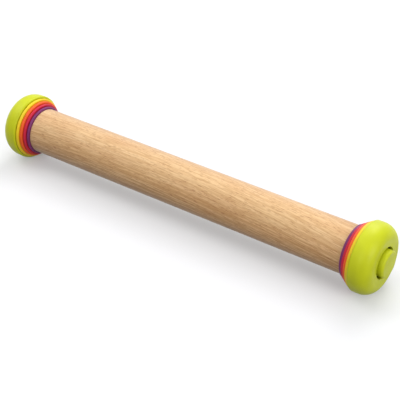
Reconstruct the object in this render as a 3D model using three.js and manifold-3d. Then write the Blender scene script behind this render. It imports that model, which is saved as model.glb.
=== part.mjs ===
// Adjustable rolling pin. A beech roller carries a stack of four thin rings and a rounded
// end disc at each end. A knob with a coarse threaded stud clamps each stack, so the rings
// come off one by one and the widest one left on sets how thick the dough is rolled.
// Millimetres. +X runs along the roller, +Z is up, the origin is the middle of its axis.

import * as THREE from 'three';
import { mergeVertices } from 'three/addons/utils/BufferGeometryUtils.js';
import Module from 'manifold-3d';

const wasm = await Module();
wasm.setup();

// Roundness: facets round a turned piece, round a threaded one, and along a quarter arc
const roundSteps = 32;
const threadRoundSteps = 24;
const edgeSteps = 2;
const shoulderSteps = 7;
const dishSteps = 3;

// Every cut runs past the surface it opens by this much
const overrun = 1;

// Roller
const rollerLength = 355.6;
const rollerRadius = 22.5;
const rollerEdge = 0.6;
const boreSpare = 2;

// Rings: each one stands further out of the wood than the one before it
const ringThickness = 3;
const ringRise = 2;
const ringEdge = 1.1;
const ringBoreClearance = 0.3;

// End disc
const discRise = 10;
const discThickness = 19.3;
const discEdge = 1.5;
const discRimWidth = 4.9;
const discCrestRadius = 21.5;
const dishDrop = 0.9;
const discWall = 2.8;
const discHubWall = 2.7;
const discCupWall = 2.2;
const discFloor = 3;
const discSeatHeight = 8;
const discRibWidth = 2;
const discRibPairs = 4;

// Knob
const knobRadius = 13;
const knobGap = 1.9;
const knobHeight = 15.7;
const knobEdge = 2;
const knobFootEdge = 0.5;
const knobRoof = 3.5;

// Stud head, a hexagon held in the knob's socket
const headSides = 6;
const headRadius = 9.9;
const headClearance = 0.3;

// Thread of the stud and of the insert
const threadRadius = 8;
const threadDepth = 1.2;
const threadLead = 6;
const threadRootWidth = 3;
const threadCrestWidth = 1.4;
const threadSunk = 0.5;
const threadClearance = 0.35;
const threadStepsPerTurn = 16;
const threadRelief = 1.5;
const threadEngagement = 16;
const studTipEdge = 1;

// Insert
const insertLength = 20;
const insertWall = 3.3;
const insertFlangeRadius = 13.5;
const insertFlangeThickness = 2;
const insertBarbHeight = 0.6;
const insertBarbLength = 4;
const insertFit = 0.3;

// Places along an end, measured outwards from the end of the wood
const ringColours = [
  { name: 'ring_2mm', colour: 0x7b3a76 },
  { name: 'ring_4mm', colour: 0xc9304e },
  { name: 'ring_6mm', colour: 0xfa7034 },
  { name: 'ring_8mm', colour: 0xffe93b },
];
const stackHeight = ringColours.length * ringThickness;
const seatPlace = stackHeight + discSeatHeight;
const studLength = seatPlace + threadEngagement;

// Radii that follow from their neighbours
const ringBoreRadius = threadRadius + ringBoreClearance;
const discRadius = rollerRadius + discRise;
const knobHoleRadius = knobRadius + knobGap;
const threadCoreRadius = threadRadius - threadDepth;
const insertBoreRadius = threadCoreRadius + threadClearance;
const insertRadius = insertBoreRadius + insertWall;
const barbRadius = insertRadius + insertBarbHeight;

const beech = new THREE.MeshStandardMaterial({ color: 0xdcb083, roughness: 0.6, metalness: 0 });
const green = new THREE.MeshStandardMaterial({ color: 0xc8cf3a, roughness: 0.4, metalness: 0 });
const nylon = new THREE.MeshStandardMaterial({ color: 0xe9e6dc, roughness: 0.5, metalness: 0 });

// A turned body round X. The outline holds [along, radius] points that run outwards along
// +X and back along the bore. Facets lie on the true radius, one of them at the bottom.
function turned(outline, steps = roundSteps) {
  const reach = 1 / Math.cos(Math.PI / steps);
  const points = outline.map(([along, radius]) => new THREE.Vector2(radius * reach, along));
  const geometry = new THREE.LatheGeometry(points, steps, Math.PI / steps);
  return geometry.rotateZ(-Math.PI / 2);
}

function closed(outline) {
  return [...outline, outline[0]];
}

// Points of a quarter ellipse from its widest radius to its highest place
function quarter(along, radius, depth, width, steps) {
  return Array.from({ length: steps + 1 }, (_, step) => {
    const angle = (Math.PI / 2) * (step / steps);
    return [along + depth * Math.sin(angle), radius + width * Math.cos(angle)];
  });
}

function solidOf(geometry) {
  const bare = geometry.clone();
  bare.deleteAttribute('normal');
  if (bare.getAttribute('uv')) bare.deleteAttribute('uv');
  const merged = mergeVertices(bare);
  return new wasm.Manifold(new wasm.Mesh({
    numProp: 3,
    vertProperties: merged.getAttribute('position').array,
    triVerts: Uint32Array.from(merged.index.array),
  }));
}

function geometryOf(solid) {
  const { vertProperties, triVerts } = solid.getMesh();
  const geometry = new THREE.BufferGeometry();
  geometry.setAttribute('position', new THREE.BufferAttribute(vertProperties, 3));
  geometry.setIndex(new THREE.BufferAttribute(triVerts, 1));
  geometry.computeVertexNormals();
  return geometry;
}

function piece(name, geometry, material, along = 0) {
  const mesh = new THREE.Mesh(geometry, material.clone());
  mesh.name = name;
  mesh.position.x = along;
  return mesh;
}

// A prism round X, from one place to another, for the stud's head and its socket
function hexagon(from, to, radius) {
  const prism = new THREE.CylinderGeometry(radius, radius, to - from, headSides);
  return solidOf(prism.rotateZ(-Math.PI / 2).translate((from + to) / 2, 0, 0));
}

// The thread's ridge round X: a trapezoid swept along a right-hand helix. Its angle follows
// its place, so a ridge and a groove of the same lead always mesh. Allowance widens it.
function threadRidge(from, to, allowance) {
  const steps = Math.ceil(((to - from) / threadLead) * threadStepsPerTurn);
  const foot = threadRootWidth / 2 + allowance;
  const crest = threadCrestWidth / 2 + allowance;
  const inside = threadCoreRadius - threadSunk;
  const outside = threadRadius + allowance;
  const section = [[-foot, inside], [foot, inside], [crest, outside], [-crest, outside]];
  const positions = [];
  const faces = [];
  for (let step = 0; step <= steps; step++) {
    const centre = from + (to - from) * (step / steps);
    const angle = (2 * Math.PI * centre) / threadLead;
    for (const [offset, radius] of section) {
      positions.push(centre + offset, radius * Math.cos(angle), radius * Math.sin(angle));
    }
  }
  const size = section.length;
  for (let step = 0; step < steps; step++) {
    for (let corner = 0; corner < size; corner++) {
      const here = step * size + corner;
      const beside = step * size + ((corner + 1) % size);
      faces.push(here, beside, beside + size, here, beside + size, here + size);
    }
  }
  const last = steps * size;
  faces.push(0, 3, 2, 0, 2, 1, last, last + 1, last + 2, last, last + 2, last + 3);
  const geometry = new THREE.BufferGeometry();
  geometry.setAttribute('position', new THREE.Float32BufferAttribute(positions, 3));
  geometry.setAttribute('normal', new THREE.Float32BufferAttribute(positions, 3));
  geometry.setIndex(faces);
  return solidOf(geometry);
}

// The beech roller, with a blind bore and a shallow recess for the insert in each end
function roller() {
  const half = rollerLength / 2;
  const boreDepth = studLength + boreSpare;
  const boreRadius = barbRadius + insertFit;
  const recessRadius = insertFlangeRadius + insertFit;
  const end = [
    [half - rollerEdge, rollerRadius],
    [half, rollerRadius - rollerEdge],
    [half, recessRadius],
    [half - insertFlangeThickness, recessRadius],
    [half - insertFlangeThickness, boreRadius],
    [half - boreDepth, boreRadius],
    [half - boreDepth, 0],
  ];
  const mirrored = end.map(([along, radius]) => [-along, radius]).reverse();
  return piece('roller', turned([...mirrored, ...end]), beech);
}

// The insert: a flanged, barbed bush set into the wood, with the thread cut inside it
function insertSolid() {
  const outline = [[-insertLength, insertBoreRadius], [-insertLength, insertRadius]];
  const barbs = Math.floor((insertLength - insertFlangeThickness) / insertBarbLength);
  for (let barb = 0; barb < barbs; barb++) {
    const start = -insertLength + barb * insertBarbLength;
    outline.push([start + insertBarbLength, barbRadius], [start + insertBarbLength, insertRadius]);
  }
  outline.push(
    [-insertFlangeThickness, insertRadius],
    [-insertFlangeThickness, insertFlangeRadius],
    [0, insertFlangeRadius],
    [0, insertBoreRadius],
  );
  const bush = solidOf(turned(closed(outline), threadRoundSteps));
  const groove = threadRidge(-insertLength - threadLead, threadLead, threadClearance);
  return bush.subtract(groove);
}

// One flat ring with rounded rim edges and a bore that runs on the thread's crests
function ringGeometry(rise) {
  const radius = rollerRadius + rise;
  const rim = radius - ringEdge;
  const outer = quarter(ringThickness - ringEdge, rim, ringEdge, ringEdge, edgeSteps);
  const inner = outer.map(([along, reach]) => [ringThickness - along, reach]).reverse();
  const outline = [[0, ringBoreRadius], ...inner, ...outer, [ringThickness, ringBoreRadius]];
  return turned(closed(outline));
}

// The disc's outer form: a small inner edge, a straight rim, a broad rounded shoulder up to
// the crest, a shallow dish down to the knob's hole, and the seat and bore inside that hole
function discForm() {
  const shoulderStart = discEdge + discRimWidth;
  const rim = discRadius - discEdge;
  const innerEdge = quarter(0, rim, discEdge, discEdge, edgeSteps)
    .map(([along, radius]) => [discEdge - along, radius]).reverse();
  const shoulder = quarter(
    shoulderStart, discCrestRadius, discThickness - shoulderStart,
    discRadius - discCrestRadius, shoulderSteps,
  );
  const dish = Array.from({ length: dishSteps }, (_, step) => {
    const share = (step + 1) / dishSteps;
    const radius = discCrestRadius + (knobHoleRadius - discCrestRadius) * share;
    return [discThickness - dishDrop * share * share, radius];
  });
  const hole = [[discSeatHeight, knobHoleRadius], [discSeatHeight, ringBoreRadius]];
  const outline = [[0, ringBoreRadius], ...innerEdge, ...shoulder, ...dish, ...hole];
  return solidOf(turned(closed(outline)));
}

// The hollow behind the disc's face, open towards the rings and split up by radial ribs
function discPockets() {
  const rim = discRadius - discWall;
  const hub = ringBoreRadius + discHubWall;
  const cup = knobHoleRadius + discCupWall;
  const shoulderStart = discEdge + discRimWidth;
  const roof = discThickness - discWall;
  const shoulder = quarter(
    shoulderStart, discCrestRadius, roof - shoulderStart, rim - discCrestRadius, shoulderSteps,
  );
  const floor = discSeatHeight - discFloor;
  const hollow = solidOf(turned(closed([
    [-overrun, rim], ...shoulder, [roof, cup], [floor, cup], [floor, hub], [-overrun, hub],
  ])));
  let pockets = hollow;
  for (let pair = 0; pair < discRibPairs; pair++) {
    const rib = new THREE.BoxGeometry(2 * discThickness, 2 * discRadius, discRibWidth);
    rib.rotateX((Math.PI * (pair + 0.5)) / discRibPairs);
    pockets = pockets.subtract(solidOf(rib));
  }
  return pockets;
}

// The knob: a round cap with a six-sided socket for the stud's head
function knobSolid() {
  const crown = quarter(
    knobHeight - knobEdge, knobRadius - knobEdge, knobEdge, knobEdge, edgeSteps + 1,
  );
  const cap = solidOf(turned([
    [0, 0], [0, knobRadius - knobFootEdge], [knobFootEdge, knobRadius], ...crown, [knobHeight, 0],
  ]));
  return cap.subtract(hexagon(-overrun, knobHeight - knobRoof, headRadius + headClearance));
}

// The stud: a hexagon head inside the knob and a thread that runs its whole length
function studSolid() {
  const tip = seatPlace - studLength;
  const core = solidOf(turned([
    [tip, 0], [tip, threadCoreRadius - studTipEdge], [tip + studTipEdge, threadCoreRadius],
    [seatPlace + overrun, threadCoreRadius], [seatPlace + overrun, 0],
  ], threadRoundSteps));
  const headTop = seatPlace + knobHeight - knobRoof - headClearance;
  const head = hexagon(seatPlace + headClearance, headTop, headRadius);
  const ridge = threadRidge(
    tip + threadRelief + threadRootWidth / 2, seatPlace - threadRelief, 0,
  );
  return core.add(head).add(ridge);
}

// One end of the pin, built outwards from the end of the wood
function endGroup(side) {
  const end = new THREE.Group();
  end.add(piece(`thread_insert_${side}`, geometryOf(insertSolid()), nylon));
  ringColours.forEach(({ name, colour }, index) => {
    const plastic = green.clone();
    plastic.color.set(colour);
    const geometry = ringGeometry((index + 1) * ringRise);
    end.add(piece(`${name}_${side}`, geometry, plastic, index * ringThickness));
  });
  const disc = geometryOf(discForm().subtract(discPockets()));
  end.add(piece(`end_disc_${side}`, disc, green, stackHeight));
  end.add(piece(`knob_${side}`, geometryOf(knobSolid()), green, seatPlace));
  end.add(piece(`knob_stud_${side}`, geometryOf(studSolid()), nylon));
  return end;
}

const rollingPin = new THREE.Group();
rollingPin.add(roller());

const rightEnd = endGroup('right');
rightEnd.position.x = rollerLength / 2;
rollingPin.add(rightEnd);

const leftEnd = endGroup('left');
leftEnd.rotation.z = Math.PI;
leftEnd.position.x = -rollerLength / 2;
rollingPin.add(leftEnd);

export default rollingPin;
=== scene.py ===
import math

import bpy
from mathutils import Matrix, Vector


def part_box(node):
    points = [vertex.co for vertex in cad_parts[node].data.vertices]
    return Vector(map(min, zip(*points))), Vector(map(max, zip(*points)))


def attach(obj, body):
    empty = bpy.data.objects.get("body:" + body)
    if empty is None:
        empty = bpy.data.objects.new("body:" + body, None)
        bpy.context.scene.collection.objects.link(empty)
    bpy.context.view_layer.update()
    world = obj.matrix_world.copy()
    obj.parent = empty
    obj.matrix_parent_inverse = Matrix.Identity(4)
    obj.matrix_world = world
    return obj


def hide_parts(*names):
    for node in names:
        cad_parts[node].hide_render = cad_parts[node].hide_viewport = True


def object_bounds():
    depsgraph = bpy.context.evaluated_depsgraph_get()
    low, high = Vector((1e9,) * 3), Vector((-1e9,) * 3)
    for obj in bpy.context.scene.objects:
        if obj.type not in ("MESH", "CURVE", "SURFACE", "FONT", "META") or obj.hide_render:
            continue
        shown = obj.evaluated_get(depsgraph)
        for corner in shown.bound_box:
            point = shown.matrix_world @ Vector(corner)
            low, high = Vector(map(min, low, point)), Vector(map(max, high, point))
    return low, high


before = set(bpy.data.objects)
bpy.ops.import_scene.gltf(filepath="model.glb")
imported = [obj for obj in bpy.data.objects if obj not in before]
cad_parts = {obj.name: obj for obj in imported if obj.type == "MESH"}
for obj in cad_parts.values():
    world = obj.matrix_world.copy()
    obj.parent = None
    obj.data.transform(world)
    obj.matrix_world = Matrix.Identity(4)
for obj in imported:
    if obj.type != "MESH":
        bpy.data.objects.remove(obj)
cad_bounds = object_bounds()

MM = 0.001
WHITE = (1, 1, 1, 1)
BLACK = (0, 0, 0, 1)
SIDES = ("right", "left")

# Rings from the wood outwards, by the dough thickness that each one sets
RINGS = {2: "purple_plastic", 4: "red_plastic", 6: "orange_plastic", 8: "yellow_plastic"}

# The wood's end and radius, which the CAD box gives
_, roller_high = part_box("roller")
WOOD_END, WOOD_RADIUS = roller_high.x, roller_high.z

# Smoothness: steps round the axis, steps along a quarter arc, and the angle between two faces
# from which their edge stays sharp
ROUND_STEPS = 192
THREAD_ROUND_STEPS = 96
FINE_ARC = 6
KNOB_ARC = 12
HOLLOW_ARC = 14
BROAD_ARC = 28
SHARP_ANGLE = math.radians(32)

# Driving dimensions, in metres, of forms that the CAD boxes don't give. KNOB_TRIM is what the
# gap round the knob, wider in the photo, takes off the knob's radius.
ROLLER_EDGE = 0.6 * MM
BORE_RADIUS = 11.35 * MM
BORE_DEPTH = 38 * MM
RECESS_RADIUS = 13.8 * MM
RECESS_DEPTH = 2 * MM
RING_EDGE = 1.1 * MM
RUNNING_BORE = 8.3 * MM
DISC_EDGE = 1.5 * MM
DISC_RIM_WIDTH = 4.9 * MM
DISC_CREST_RADIUS = 21.5 * MM
DISH_DROP = 0.2 * MM
DISC_WALL = 2.8 * MM
DISC_HUB_RADIUS = 11 * MM
DISC_CUP_RADIUS = 17.1 * MM
DISC_FLOOR = 3 * MM
DISC_SEAT = 8 * MM
DISC_RIBS = 8
DISC_RIB_WIDTH = 2 * MM
DISC_RIB_SUNK = DISC_WALL / 4
HOLE_RADIUS = 14.7 * MM
HOLE_LIP = 0.5 * MM
KNOB_TRIM = 0.4 * MM
KNOB_EDGE = 2 * MM
KNOB_FOOT_EDGE = 0.5 * MM
KNOB_FOOT_CLEARANCE = 0.05 * MM
KNOB_ROOF = 3.5 * MM
SOCKET_RADIUS = 10.2 * MM
HEAD_RADIUS = 9.9 * MM
HEAD_CLEARANCE = 0.3 * MM
THREAD_RADIUS = 8 * MM
THREAD_CORE = 6.8 * MM
THREAD_LEAD = 6 * MM
THREAD_ROOT_WIDTH = 3 * MM
THREAD_CREST_WIDTH = 1.4 * MM
THREAD_CLEARANCE = 0.35 * MM
THREAD_FADE = 3 * MM
THREAD_STEP = 0.3 * MM
STUD_TIP_EDGE = 1 * MM
INSERT_RADIUS = 10.45 * MM
INSERT_FLANGE = 13.5 * MM
INSERT_BARB_HEIGHT = 0.6 * MM
INSERT_BARB_LENGTH = 4 * MM

# Camera: where it looks, from which way, how far off, and its lens on a 36 mm sensor
CAMERA_AIM = Vector((15.3, 1.5, -11.3)) * MM
CAMERA_AZIMUTH = math.radians(35.886)
CAMERA_ELEVATION = math.radians(33.117)
CAMERA_DISTANCE = 1023.95 * MM
CAMERA_LENS = 98.415
CAMERA_SENSOR = 36

# Light: a dome that is brightest overhead, and soft boxes all round, each with place and power
DOME_HORIZON = 0
DOME_ZENITH = 0.9
LAMP_SIZE = 0.8
LAMPS = {
    "low_right": (Vector((1.5, -0.3, 0.6)), 8.8),
    "behind": (Vector((-0.2, 1.1, 0.95)), 5.6),
    "high_behind": (Vector((-0.1, 0.8, 1.3)), 5),
    "left": (Vector((-1, -0.2, 1.25)), 5.2),
    "front": (Vector((0.2, -1.6, 0.9)), 4.8),
}

# Floor: half its width, its colour as seen and as it lights the pin, its own glow near the pin,
# and from how far off that glow grows to full
FLOOR_REACH = 5
FLOOR_SEEN = (0.643, 0.647, 0.666, 1)
FLOOR_BOUNCE = (0.2, 0.2, 0.2, 1)
FLOOR_LIFT = 0.27
FLOOR_FADE = 0.6


# Geometry: everything is turned round X. An outline holds (along, radius) points in an end's
# own frame, outwards from the end of the wood. A radius may be a function of the angle.

def arc(along, radius, depth, width, start, stop, steps):
    """Points of an elliptic arc, its angle measured from the radial way towards +along."""
    points = []
    for step in range(steps + 1):
        angle = math.radians(start + (stop - start) * step / steps)
        points.append((along + depth * math.sin(angle), radius + width * math.cos(angle)))
    return points


def hexagon(radius):
    """The reach of a hexagon with this corner radius, by angle."""
    sector = math.pi / 3

    def at(angle):
        return radius * math.cos(sector / 2) / math.cos(angle % sector - sector / 2)
    return at


def thread(along, core, crest, allowance, fade=1.0):
    """The reach of a right-hand thread at this place, by angle."""
    root = THREAD_ROOT_WIDTH / 2 + allowance
    top = THREAD_CREST_WIDTH / 2 + allowance

    def at(angle):
        offset = (along - THREAD_LEAD * angle / (2 * math.pi)) % THREAD_LEAD
        offset = min(offset, THREAD_LEAD - offset)
        share = min(max((root - offset) / (root - top), 0), 1)
        return core + (crest - core) * share * fade
    return at


def new_mesh(name, verts, faces):
    mesh = bpy.data.meshes.new(name)
    mesh.from_pydata(verts, [], faces)
    mesh.update()
    return mesh


def points_round(outline, steps):
    """All points of an outline turned round X, and for each outline point the row it makes."""
    verts, rows = [], []
    for along, radius in outline:
        if radius == 0:
            rows.append([len(verts)] * steps)
            verts.append((along, 0, 0))
            continue
        rows.append(list(range(len(verts), len(verts) + steps)))
        for step in range(steps):
            angle = 2 * math.pi * step / steps
            here = radius(angle) if callable(radius) else radius
            verts.append((along, here * math.cos(angle), here * math.sin(angle)))
    return verts, rows


def turned_mesh(name, outline, steps, closed):
    """A mesh turned round X. A closed outline makes a ring; an open one ends on the axis."""
    verts, rows = points_round(outline, steps)
    following = rows[1:] + rows[:1] if closed else rows[1:]
    faces = []
    for low, high in zip(rows, following):
        for step in range(steps):
            after = (step + 1) % steps
            face = list(dict.fromkeys([low[step], low[after], high[after], high[step]]))
            if len(face) > 2:
                faces.append(face)
    return new_mesh(name, verts, faces)


def joined(meshes, name):
    """Several meshes as one."""
    verts, faces = [], []
    for mesh in meshes:
        base = len(verts)
        verts += [v.co.copy() for v in mesh.vertices]
        faces += [[base + i for i in p.vertices] for p in mesh.polygons]
    return new_mesh(name, verts, faces)


def span(node):
    """Where a node's box starts and ends, outwards from the end of the wood, and its radius."""
    low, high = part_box(f"{node}_right")
    return low.x - WOOD_END, high.x - WOOD_END, high.z


def to_end(mesh, side):
    """Moves a mesh from an end's own frame to its end; the left one lies half a turn round Z."""
    mesh.transform(Matrix.Translation((WOOD_END, 0, 0)))
    if side == "left":
        mesh.transform(Matrix.Rotation(math.pi, 4, "Z"))


def new_object(name, data):
    made = bpy.data.objects.new(name, data)
    bpy.context.scene.collection.objects.link(made)
    return made


def add(name, mesh, materials, body, slot, nodes):
    """Puts a finished mesh into the scene as one piece of the pin."""
    mesh.shade_smooth()
    mesh.set_sharp_from_angle(angle=SHARP_ANGLE)
    mesh.materials.append(materials[slot])
    piece = new_object(name, mesh)
    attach(piece, body)
    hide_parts(*nodes)


# Materials: colours, and a short way to write their nodes

# Where a mix node takes its share and its two colours, and where the mixed colour comes out
MIX_INPUTS = (0, 6, 7)
MIX_OUTPUT = 2


def linear(red, green, blue):
    """A colour given as 0 to 255 on screen, as Blender's own numbers."""
    def one(value):
        share = value / 255
        return share / 12.92 if share <= 0.04045 else ((share + 0.055) / 1.055) ** 2.4
    return (one(red), one(green), one(blue), 1)


class Nodes:
    """Builds a node tree with few words."""

    def __init__(self, tree):
        self.tree = tree

    def fill(self, made, inputs):
        """Sets a node's inputs, by name or number, to plain values or to other sockets."""
        for key, value in inputs.items():
            if isinstance(value, bpy.types.NodeSocket):
                self.tree.links.new(value, made.inputs[key])
            else:
                made.inputs[key].default_value = value

    def fill_shader(self, inputs):
        self.fill(self.tree.nodes["Principled BSDF"], inputs)

    def node(self, kind, inputs=None):
        made = self.tree.nodes.new(kind)
        self.fill(made, inputs or {})
        return made

    def point(self):
        return self.node("ShaderNodeTexCoord").outputs["Object"]

    def maths(self, operation, first, second=0.0):
        made = self.node("ShaderNodeMath", {0: first, 1: second})
        made.operation = operation
        return made.outputs[0]

    def times(self, first, second):
        return self.maths("MULTIPLY", first, second)

    def vector_maths(self, operation, first, second=(0, 0, 0)):
        made = self.node("ShaderNodeVectorMath", {0: first, 1: second})
        made.operation = operation
        return made.outputs

    def scaled(self, vector, scale):
        return self.vector_maths("MULTIPLY", vector, scale)["Vector"]

    def moved(self, vector, offset):
        return self.vector_maths("ADD", vector, offset)["Vector"]

    def length(self, vector):
        return self.vector_maths("LENGTH", vector)["Value"]

    def rotated(self, vector, kind, inputs):
        made = self.node("ShaderNodeVectorRotate")
        made.rotation_type = kind
        self.fill(made, {"Vector": vector, **inputs})
        return made.outputs[0]

    def noise(self, vector, cells, detail, rough=0.5):
        """A noise with this many cells to the metre each way."""
        return self.node("ShaderNodeTexNoise", {
            "Vector": self.scaled(vector, cells), "Scale": 1, "Detail": detail,
            "Roughness": rough}).outputs["Fac"]

    def ramp(self, value, low, high, to_low=0.0, to_high=1.0):
        """A smooth step from one number to another, while the value goes from low to high."""
        made = self.node("ShaderNodeMapRange", {
            "Value": value, "From Min": low, "From Max": high,
            "To Min": to_low, "To Max": to_high})
        made.interpolation_type = "SMOOTHSTEP"
        return made.outputs[0]

    def between(self, share, low, high):
        return self.ramp(share, 0, 1, low, high)

    def mix(self, share, first, second):
        """A colour between two, by share."""
        made = self.node("ShaderNodeMix")
        made.data_type = "RGBA"
        self.fill(made, dict(zip(MIX_INPUTS, (share, first, second))))
        return made.outputs[MIX_OUTPUT]

    def bump(self, height, strength, distance):
        return self.node("ShaderNodeBump", {
            "Height": height, "Strength": strength, "Distance": distance}).outputs[0]


def new_material(name):
    """A material, and the builder of its nodes."""
    material = bpy.data.materials.new(name)
    material.use_nodes = True
    return material, Nodes(material.node_tree)


# Where most values of a noise lie
NOISE_SPREAD = (0.3, 0.7)


# Beech: growth rings cut lengthwise, fibres, reddish patches, and the short dark dashes of its
# rays, all winding a little round the roller

# How steeply the grain winds at the middle, and half of what that grows by in each metre
GRAIN_SLOPE = 0.045
GRAIN_BEND = 0.25

# Growth rings: their tilt, the way from their heart to the roller's axis, how far apart they
# are, how far they wander, and where the surface starts to lie along them and fully does
RING_TILT = (0, math.radians(-1.2), math.radians(0.8))
HEART = (0, 0.02, -0.049)
RING_SPACING = 4.2 * MM
RING_WANDER = 9 * MM
FLAT_WINDOW = (0.4, 1)

BEECH_PALE = linear(235, 199, 151)
BEECH_MID = linear(248, 205, 148)
BEECH_RED = linear(224, 170, 122)
BEECH_LATE = linear(203, 152, 98)
BEECH_DASH = linear(166, 92, 46)

# How much of the pale wood shows, least and most, and how much more along the growth rings;
# the window of its noise in which the reddish wood comes out, and how much of it shows
PALE_MIX = (0.3, 0.7)
PALE_ALONG = 0.5
RED_WINDOW = (0.45, 0.75)
RED_SHARE = 0.4

# Noises of the grain: cells to the metre along and across it, octaves, and roughness
WANDER_NOISE = ((4, 30, 30), 2)
BROAD_NOISE = ((5, 260, 260), 3)
FIBRE_NOISE = ((14, 850, 850), 2, 0.6)
FINE_NOISE = ((45, 1000, 1000), 1)
PATCH_NOISE = ((12, 60, 60), 2)
DASH_NOISE = ((0, 400, 400), 0)

# Darker parts of the grain: the window of the noise in which each one comes out, and how much
# of it shows where the surface cuts across the growth rings and where it lies along them
DARKER = {
    "late": ((0.45, 1), (0.4, 0.15)),
    "broad": ((0.6, 0.4), (0.4, 0)),
    "fibre": ((0.42, 0.64), (0.8, 0.35)),
    "fine": ((0.46, 0.6), (0.8, 0.45)),
}

# Dashes: length, width, the window of their own strengths, how much of them shows across the
# growth rings and along them, and where their pattern starts. DASH_SHIFT is how many lengths
# one may lie off its row, and DASH_EDGE where in its cell it starts and is full.
SMALL_DASHES = (6 * MM, 0.5 * MM, (0.15, 0.82), (0.72, 0.6), (0, 0, 0))
STRONG_DASHES = (8 * MM, 0.65 * MM, (0.5, 0.9), (0.9, 0.75), (0.013, 0.002, 0.005))
DASH_SHIFT = 6
DASH_EDGE = (0.36, 0.2)

BEECH_ROUGHNESS = (0.52, 0.62)
BEECH_SPECULAR = 0.15
BEECH_SHEEN = 0.4
BEECH_BUMP = (0.12, 0.1 * MM)


def wound(n, point):
    """The point, twisted round the axis: the grain winds round the roller, more to the right."""
    along = n.node("ShaderNodeSeparateXYZ", {0: point}).outputs[0]
    slope = n.maths("ADD", n.times(along, GRAIN_BEND), GRAIN_SLOPE)
    twist = n.times(n.times(along, slope), -1 / WOOD_RADIUS)
    return n.rotated(point, "X_AXIS", {"Angle": twist})


def growth(n, point):
    """How late in its year the wood grew, 0 to 1, round a heart outside the roller."""
    tilted = n.rotated(point, "EULER_XYZ", {"Rotation": RING_TILT})
    far = n.length(n.scaled(n.moved(tilted, HEART), (0, 1, 1)))
    wander = n.times(n.noise(point, *WANDER_NOISE), RING_WANDER)
    return n.maths("FRACT", n.maths("DIVIDE", n.maths("ADD", far, wander), RING_SPACING))


def flatsawn(n, point):
    """1 where the surface lies along the growth rings, 0 where it cuts straight across them."""
    outwards = n.vector_maths("NORMALIZE", n.scaled(point, (0, 1, 1)))["Vector"]
    heartwards = -Vector(HEART).normalized()
    facing = n.vector_maths("DOT_PRODUCT", outwards, heartwards)["Value"]
    return n.ramp(n.maths("ABSOLUTE", facing), *FLAT_WINDOW)


def dashes(n, grain, flat, kind):
    """Slender dashes: cells drawn out along the grain, each with its own strength."""
    long, across, window, shown, start = kind
    grain = n.moved(grain, start)
    shift = n.times(n.noise(grain, *DASH_NOISE), DASH_SHIFT * long)
    offset = n.node("ShaderNodeCombineXYZ", {"X": shift}).outputs[0]
    stretched = n.scaled(n.moved(grain, offset), (1 / long, 1 / across, 1 / across))
    cells = n.node("ShaderNodeTexVoronoi", {"Vector": stretched, "Scale": 1})
    own = n.node("ShaderNodeSeparateColor", {0: cells.outputs["Color"]}).outputs[0]
    shape = n.times(n.ramp(cells.outputs["Distance"], *DASH_EDGE), n.ramp(own, *window))
    return shape, n.times(shape, n.between(flat, *shown))


def beech():
    material, n = new_material("beech")
    point = n.point()
    grain, flat = wound(n, point), flatsawn(n, point)
    noises = {"late": growth(n, point), "broad": n.noise(grain, *BROAD_NOISE),
              "fibre": n.noise(grain, *FIBRE_NOISE), "fine": n.noise(grain, *FINE_NOISE)}
    patch = n.noise(grain, *PATCH_NOISE)
    colour = n.mix(n.ramp(noises["broad"], *NOISE_SPREAD, *PALE_MIX), BEECH_MID, BEECH_PALE)
    colour = n.mix(n.between(flat, 0, PALE_ALONG), colour, BEECH_PALE)
    colour = n.mix(n.ramp(patch, *RED_WINDOW, 0, RED_SHARE), colour, BEECH_RED)
    for part, (window, shown) in DARKER.items():
        share = n.times(n.ramp(noises[part], *window), n.between(flat, *shown))
        colour = n.mix(share, colour, BEECH_LATE)
    height = n.maths("ADD", noises["fine"], noises["fibre"])
    for kind in (SMALL_DASHES, STRONG_DASHES):
        shape, share = dashes(n, grain, flat, kind)
        colour = n.mix(share, colour, BEECH_DASH)
        height = n.maths("SUBTRACT", height, shape)
    n.fill_shader({
        "Base Color": colour,
        "Roughness": n.ramp(noises["fibre"], *NOISE_SPREAD, *BEECH_ROUGHNESS),
        "Specular IOR Level": BEECH_SPECULAR,
        "Sheen Weight": BEECH_SHEEN,
        "Normal": n.bump(height, *BEECH_BUMP),
    })
    return material


# Moulded plastic: a fine matt texture, faint flow marks and scuffs, and painted shade in its
# creases and down the gap round the knob

PLASTIC = {
    "green_plastic": linear(210, 217, 24),
    "white_plastic": linear(233, 230, 220),
    "purple_plastic": linear(128, 50, 110),
    "red_plastic": linear(214, 35, 68),
    "orange_plastic": linear(255, 106, 46),
    "yellow_plastic": linear(255, 221, 44),
}
FLOW_NOISE = ((60, 60, 60), 3)
FLOW_DARK = 0.08
SCUFF_NOISE = ((900, 140, 140), 4, 0.65)
SCUFF_WINDOW = (0.3, 0.75)
TEXTURE_NOISE = ((3200, 3200, 3200), 2)
TEXTURE_BUMP = (0.12, 0.05 * MM)
PLASTIC_ROUGHNESS = (0.38, 0.52)
WHITE_ROUGHNESS = (0.46, 0.6)
PLASTIC_SPECULAR = 0.3

# Painted shade in creases: how far off it ends, how much of its colour shows, and how light that
# colour is. Painted shade down the gap round the knob: where it starts to darken, where it is
# full, and how dark that is.
CREASE_REACH = 0.8 * MM
CREASE_DARK = 0.6
CREASE_LIGHT = 0.5
WELL_TOP = 29.7 * MM
WELL_DEEP = 27 * MM
WELL_DARK = 0.8


def section(n, point):
    """Where a point lies in the turned outline: outwards from the wood's end, and the radius."""
    from_middle = n.node("ShaderNodeSeparateXYZ", {0: point}).outputs[0]
    along = n.maths("SUBTRACT", n.maths("ABSOLUTE", from_middle), WOOD_END)
    return along, n.length(n.scaled(point, (0, 1, 1)))


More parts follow.
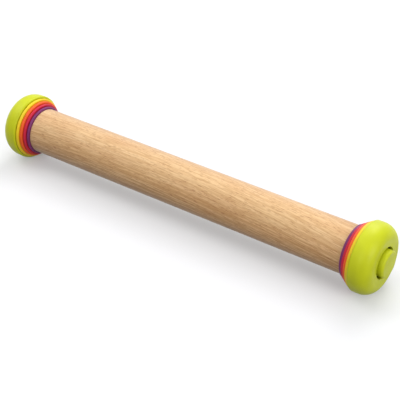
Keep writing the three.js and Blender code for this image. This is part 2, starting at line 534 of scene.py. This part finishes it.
def crease(n, along, radius, corner):
    """How much painted shade the crease at this corner of the outline gets, down to 0 a little
    way off.
    """
    offset = n.node("ShaderNodeCombineXYZ", {
        "X": n.maths("SUBTRACT", along, corner[0]),
        "Y": n.maths("SUBTRACT", radius, corner[1])}).outputs[0]
    return n.times(n.ramp(n.length(offset), 0, CREASE_REACH, 1, 0), CREASE_DARK)


def painted_gap_shade(n, along, radius):
    """Painted shade down the gap round the knob: 0 at its lip, and more further down."""
    deep = n.ramp(along, WELL_TOP, WELL_DEEP)
    inside = n.ramp(radius, HOLE_RADIUS + HOLE_LIP, HOLE_RADIUS + 2 * HOLE_LIP, 1, 0)
    return n.times(n.times(deep, inside), WELL_DARK)


def crease_shade_colour(base):
    """The painted shade colour of a crease: darker and purer, as where light meets the plastic
    again and again.
    """
    return tuple(CREASE_LIGHT * c * c / max(base[:3]) for c in base[:3]) + (1,)


def plastic(name, roughness=PLASTIC_ROUGHNESS, corners=(), hole=False):
    """One plastic, with painted shade at these corners of the outline and down the knob's gap."""
    material, n = new_material(name)
    base, point = PLASTIC[name], n.point()
    darker = tuple(c * (1 - FLOW_DARK) for c in base[:3]) + (1,)
    colour = n.mix(n.ramp(n.noise(point, *FLOW_NOISE), *NOISE_SPREAD), base, darker)
    along, radius = section(n, point)
    # Painted shade: the creases where this plastic meets its neighbours are darkened in its
    # colour
    for corner in corners:
        colour = n.mix(crease(n, along, radius, corner), colour, crease_shade_colour(base))
    # Painted shade: the colour goes towards black down the gap round the knob
    if hole:
        colour = n.mix(painted_gap_shade(n, along, radius), colour, BLACK)
    n.fill_shader({
        "Base Color": colour,
        "Roughness": n.ramp(n.noise(point, *SCUFF_NOISE), *SCUFF_WINDOW, *roughness),
        "Specular IOR Level": PLASTIC_SPECULAR,
        "Normal": n.bump(n.noise(point, *TEXTURE_NOISE), *TEXTURE_BUMP),
    })
    return material


def make_materials():
    """All materials of the pin, by slot. Creases lie where a ring meets its two neighbours."""
    materials = {"beech": beech()}
    corner = (0, WOOD_RADIUS)
    for size, slot in RINGS.items():
        _, outer, radius = span(f"ring_{size}mm")
        inner_corner, corner = corner, (outer, radius)
        materials[slot] = plastic(slot, corners=(inner_corner, corner))
    materials["green_plastic"] = plastic("green_plastic", corners=(corner,), hole=True)
    materials["white_plastic"] = plastic("white_plastic", WHITE_ROUGHNESS)
    return materials


# The pieces

def roller_outline():
    """The roller from one end to the other, each with a recess and a blind bore."""
    rim = arc(WOOD_END - ROLLER_EDGE, WOOD_RADIUS - ROLLER_EDGE, ROLLER_EDGE, ROLLER_EDGE,
              0, 90, FINE_ARC)
    recess, bottom = WOOD_END - RECESS_DEPTH, WOOD_END - BORE_DEPTH
    end = rim + [(WOOD_END, RECESS_RADIUS), (recess, RECESS_RADIUS), (recess, BORE_RADIUS),
                 (bottom, BORE_RADIUS), (bottom, 0)]
    return [(-along, radius) for along, radius in reversed(end)] + end


def make_roller(materials):
    mesh = turned_mesh("roller", roller_outline(), ROUND_STEPS, closed=False)
    add("beech_roller", mesh, materials, "roller", "beech", ["roller"])


def insert_outline(inner):
    """The insert from its barbed outside over its flange, and back along its thread."""
    outline = []
    start = inner
    while start < -RECESS_DEPTH - INSERT_BARB_LENGTH / 2:
        after = start + INSERT_BARB_LENGTH
        outline += [(start, INSERT_RADIUS), (after, INSERT_RADIUS + INSERT_BARB_HEIGHT)]
        start = after
    outline += [(start, INSERT_RADIUS), (-RECESS_DEPTH, INSERT_RADIUS)]
    outline += [(-RECESS_DEPTH, INSERT_FLANGE), (0, INSERT_FLANGE)]
    bore, crest = THREAD_CORE + THREAD_CLEARANCE, THREAD_RADIUS + THREAD_CLEARANCE
    steps = round(-inner / THREAD_STEP)
    for step in range(steps + 1):
        along = inner * step / steps
        outline.append((along, thread(along, bore, crest, THREAD_CLEARANCE)))
    return outline


def make_insert(side, materials):
    inner, _, _ = span("thread_insert")
    mesh = turned_mesh(f"insert_{side}", insert_outline(inner), THREAD_ROUND_STEPS, closed=True)
    to_end(mesh, side)
    node = f"thread_insert_{side}"
    add(f"nylon_insert_{side}", mesh, materials, "roller", "white_plastic", [node])


def make_ring(side, size, slot, materials):
    node = f"ring_{size}mm_{side}"
    inner, outer, radius = span(f"ring_{size}mm")
    rim = radius - RING_EDGE
    outline = [(inner, RUNNING_BORE)]
    outline += arc(inner + RING_EDGE, rim, RING_EDGE, RING_EDGE, -90, 0, FINE_ARC)
    outline += arc(outer - RING_EDGE, rim, RING_EDGE, RING_EDGE, 0, 90, FINE_ARC)
    outline += [(outer, RUNNING_BORE)]
    mesh = turned_mesh(node, outline, ROUND_STEPS, closed=True)
    to_end(mesh, side)
    add(f"thickness_{node}", mesh, materials, node, slot, [node])


def disc_face(inner, outer, radius):
    """The end disc's outside: from its back edge round the shoulder and into its hole."""
    shoulder = inner + DISC_EDGE + DISC_RIM_WIDTH
    face = arc(inner + DISC_EDGE, radius - DISC_EDGE, DISC_EDGE, DISC_EDGE, -90, 0, FINE_ARC)
    face += arc(shoulder, DISC_CREST_RADIUS, outer - shoulder, radius - DISC_CREST_RADIUS,
                0, 90, BROAD_ARC)
    lip = HOLE_RADIUS + HOLE_LIP
    for step in range(1, FINE_ARC + 1):
        share = step / FINE_ARC
        across = DISC_CREST_RADIUS + (lip - DISC_CREST_RADIUS) * share
        face.append((outer - DISH_DROP * share * share, across))
    drop = outer - DISH_DROP - HOLE_LIP
    return face + arc(drop, lip, HOLE_LIP, -HOLE_LIP, 90, 0, FINE_ARC)[1:]


def disc_back(inner, outer, radius):
    """The rest of the end disc: its hole, its hub, and the hollow behind its face."""
    shoulder = inner + DISC_EDGE + DISC_RIM_WIDTH
    seat = inner + DISC_SEAT
    floor = seat - DISC_FLOOR
    roof = outer - DISC_WALL
    rim = radius - DISC_WALL
    back = [(seat, HOLE_RADIUS), (seat, RUNNING_BORE), (inner, RUNNING_BORE)]
    back += [(inner, DISC_HUB_RADIUS), (floor, DISC_HUB_RADIUS), (floor, DISC_CUP_RADIUS),
             (roof, DISC_CUP_RADIUS)]
    back += reversed(arc(shoulder, DISC_CREST_RADIUS, roof - shoulder, rim - DISC_CREST_RADIUS,
                         0, 90, HOLLOW_ARC))
    return back + [(inner, rim)]


def rib_outline(inner, outer, radius):
    """A rib behind the disc's face, seen from the side, its edges sunk into the walls."""
    shoulder = inner + DISC_EDGE + DISC_RIM_WIDTH
    floor = inner + DISC_SEAT - DISC_FLOOR + DISC_RIB_SUNK
    roof = outer - DISC_WALL + DISC_RIB_SUNK
    rim = radius - DISC_WALL + DISC_RIB_SUNK
    hub, cup = DISC_HUB_RADIUS - DISC_RIB_SUNK, DISC_CUP_RADIUS - DISC_RIB_SUNK
    curve = arc(shoulder, DISC_CREST_RADIUS, roof - shoulder, rim - DISC_CREST_RADIUS,
                0, 90, FINE_ARC)
    return [(inner, hub), (inner, rim), *curve, (roof, cup), (floor, cup), (floor, hub)]


def rib_mesh(outline, angle):
    """One radial rib: its outline with a thickness, turned to its place."""
    half = DISC_RIB_WIDTH / 2
    verts = [(along, radius, -half) for along, radius in outline]
    verts += [(along, radius, half) for along, radius in outline]
    count = len(outline)
    faces = [list(range(count)), list(range(2 * count - 1, count - 1, -1))]
    for i in range(count):
        after = (i + 1) % count
        faces.append([i, i + count, after + count, after])
    mesh = new_mesh("rib", verts, faces)
    mesh.transform(Matrix.Rotation(angle, 4, "X"))
    return mesh


def make_disc(side, materials):
    node = f"end_disc_{side}"
    box = span("end_disc")
    outline = disc_face(*box) + disc_back(*box)
    parts = [turned_mesh("shell", outline, ROUND_STEPS, closed=True)]
    for i in range(DISC_RIBS):
        parts.append(rib_mesh(rib_outline(*box), 2 * math.pi * (i + 0.5) / DISC_RIBS))
    mesh = joined(parts, node)
    to_end(mesh, side)
    add(f"broad_{node}", mesh, materials, node, "green_plastic", [node])


def make_knob(side, materials):
    node = f"knob_{side}"
    inner, top, radius = span("knob")
    foot, roof = inner + KNOB_FOOT_CLEARANCE, top - KNOB_ROOF
    radius -= KNOB_TRIM
    outline = [(roof, 0), (roof, hexagon(SOCKET_RADIUS)), (foot, hexagon(SOCKET_RADIUS))]
    outline += [(foot, radius - KNOB_FOOT_EDGE), (foot + KNOB_FOOT_EDGE, radius)]
    outline += arc(top - KNOB_EDGE, radius - KNOB_EDGE, KNOB_EDGE, KNOB_EDGE, 0, 90, KNOB_ARC)
    outline += [(top, 0)]
    mesh = turned_mesh(node, outline, ROUND_STEPS, closed=False)
    to_end(mesh, side)
    add(f"round_{node}", mesh, materials, node, "green_plastic", [node])


def stud_outline(tip, top, seat):
    """The stud from its tip along its thread, which fades out at both ends, to its head."""
    outline = [(tip, 0), (tip, THREAD_CORE - STUD_TIP_EDGE)]
    start = tip + STUD_TIP_EDGE
    steps = round((seat - start) / THREAD_STEP)
    for step in range(steps + 1):
        along = start + (seat - start) * step / steps
        nearest = min(along - start, seat - along)
        fade = min(max(nearest / THREAD_FADE, 0), 1)
        outline.append((along, thread(along, THREAD_CORE, THREAD_RADIUS, 0, fade)))
    base, head = seat + HEAD_CLEARANCE, hexagon(HEAD_RADIUS)
    return outline + [(base, THREAD_CORE), (base, head), (top, head), (top, 0)]


def make_stud(side, materials):
    tip, top, _ = span("knob_stud")
    seat, _, _ = span("knob")
    outline = stud_outline(tip, top, seat)
    mesh = turned_mesh(f"stud_{side}", outline, THREAD_ROUND_STEPS, closed=False)
    to_end(mesh, side)
    node = f"knob_stud_{side}"
    add(f"threaded_{node}", mesh, materials, f"knob_{side}", "white_plastic", [node])


def make_pin():
    materials = make_materials()
    make_roller(materials)
    for side in SIDES:
        make_insert(side, materials)
        for size, slot in RINGS.items():
            make_ring(side, size, slot, materials)
        make_disc(side, materials)
        make_knob(side, materials)
        make_stud(side, materials)


# The studio

def seen_directly(n):
    """1 for what the camera sees, also in mirrors and through glass, and 0 for other light."""
    path = n.node("ShaderNodeLightPath").outputs
    either = n.maths("MAXIMUM", path["Is Glossy Ray"], path["Is Transmission Ray"])
    return n.maths("MAXIMUM", path["Is Camera Ray"], either)


def floor_material():
    """White, and lifted for the camera, near the object only so far that its shadow shows."""
    material, n = new_material("floor")
    n.tree.nodes.remove(n.tree.nodes["Principled BSDF"])
    seen = seen_directly(n)
    colour = n.mix(seen, FLOOR_BOUNCE, FLOOR_SEEN)
    lift = n.ramp(n.length(n.point()), FLOOR_FADE, 2 * FLOOR_FADE, FLOOR_LIFT, 1)
    white = n.node("ShaderNodeBsdfDiffuse", {"Color": colour})
    glow = n.node("ShaderNodeEmission", {"Strength": n.times(seen, lift)})
    both = n.node("ShaderNodeAddShader", {0: white.outputs[0], 1: glow.outputs[0]})
    n.fill(n.tree.nodes["Material Output"], {"Surface": both.outputs[0]})
    return material


def make_floor():
    low, _ = cad_bounds
    corners = [(-FLOOR_REACH, -FLOOR_REACH, low.z), (FLOOR_REACH, -FLOOR_REACH, low.z),
               (FLOOR_REACH, FLOOR_REACH, low.z), (-FLOOR_REACH, FLOOR_REACH, low.z)]
    mesh = new_mesh("floor", corners, [(0, 1, 2, 3)])
    mesh.materials.append(floor_material())
    floor = new_object("floor", mesh)


def make_world():
    """White where it is seen, and a dome that is brightest overhead for the rest of the light."""
    world = bpy.data.worlds.new("studio")
    world.use_nodes = True
    bpy.context.scene.world = world
    n = Nodes(world.node_tree)
    upwards = n.node("ShaderNodeSeparateXYZ", {
        0: n.node("ShaderNodeTexCoord").outputs["Generated"]}).outputs["Z"]
    dome = n.node("ShaderNodeMapRange", {
        "Value": upwards, "To Min": DOME_HORIZON, "To Max": DOME_ZENITH}).outputs[0]
    strength = n.node("ShaderNodeMapRange", {
        "Value": seen_directly(n), "To Min": dome}).outputs[0]
    n.fill(n.tree.nodes["Background"], {"Color": WHITE, "Strength": strength})


def make_lamps():
    for name, (place, power) in LAMPS.items():
        lamp = bpy.data.lights.new(name, "AREA")
        lamp.size = LAMP_SIZE
        lamp.energy = power
        softbox = new_object(name, lamp)
        softbox.location = place
        softbox.rotation_euler = (-place).to_track_quat("-Z", "Y").to_euler()


def make_camera():
    flat = math.cos(CAMERA_ELEVATION)
    back = Vector((math.sin(CAMERA_AZIMUTH) * flat, -math.cos(CAMERA_AZIMUTH) * flat,
                   math.sin(CAMERA_ELEVATION)))
    data = bpy.data.cameras.new("camera")
    data.sensor_width = CAMERA_SENSOR
    data.lens = CAMERA_LENS
    camera = new_object("camera", data)
    camera.location = CAMERA_AIM + back * CAMERA_DISTANCE
    camera.rotation_euler = (-back).to_track_quat("-Z", "Y").to_euler()
    bpy.context.scene.camera = camera


bpy.context.scene.view_settings.view_transform = "Standard"
make_camera()
make_world()
make_lamps()
make_floor()
make_pin()
